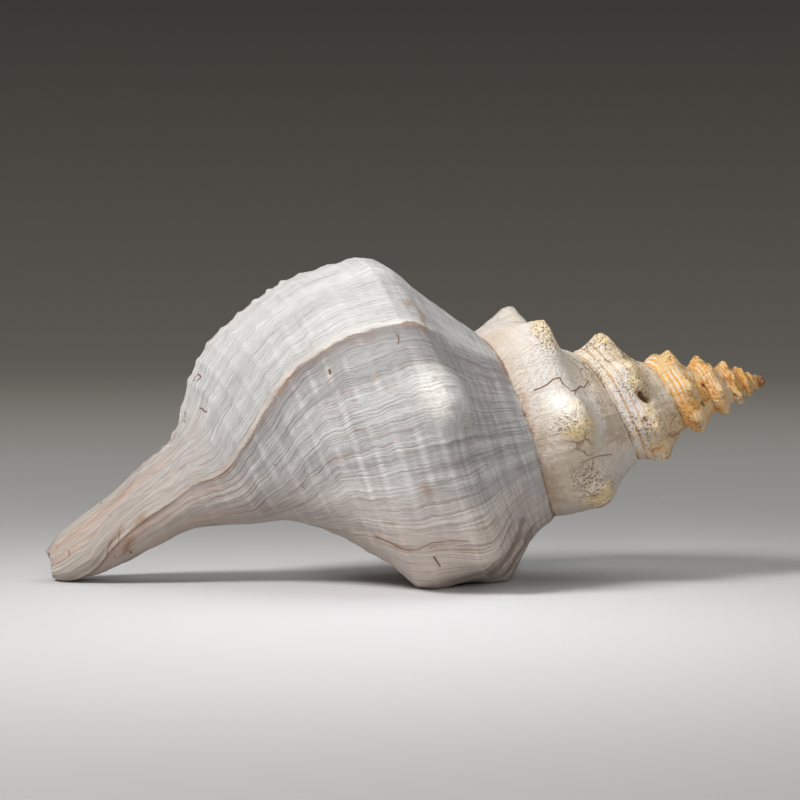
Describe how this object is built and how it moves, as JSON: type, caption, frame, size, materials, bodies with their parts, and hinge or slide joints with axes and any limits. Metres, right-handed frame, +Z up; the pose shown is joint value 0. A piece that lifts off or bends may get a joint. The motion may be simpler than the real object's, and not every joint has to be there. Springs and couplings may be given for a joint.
{
  "type": "horse conch shell",
  "caption": "Bleached horse conch shell with a tall knobbed spire, a large hollow last turn open at the lip and a long grooved siphonal canal, lying mouth side up.",
  "frame": {"origin": "centre of the bounding box at its bottom, on the surface that the shell lies on", "axes": "+X towards the tip of the spire along the long way, +Z up as it lies; the outer side of the last turn faces -Y and the mouth +Y"},
  "size_m": [0.3406, 0.145, 0.1512],
  "materials": {
    "shell": null
  },
  "bodies": {
    "root": {"shell": "shell"}
  },
  "joints": []
}
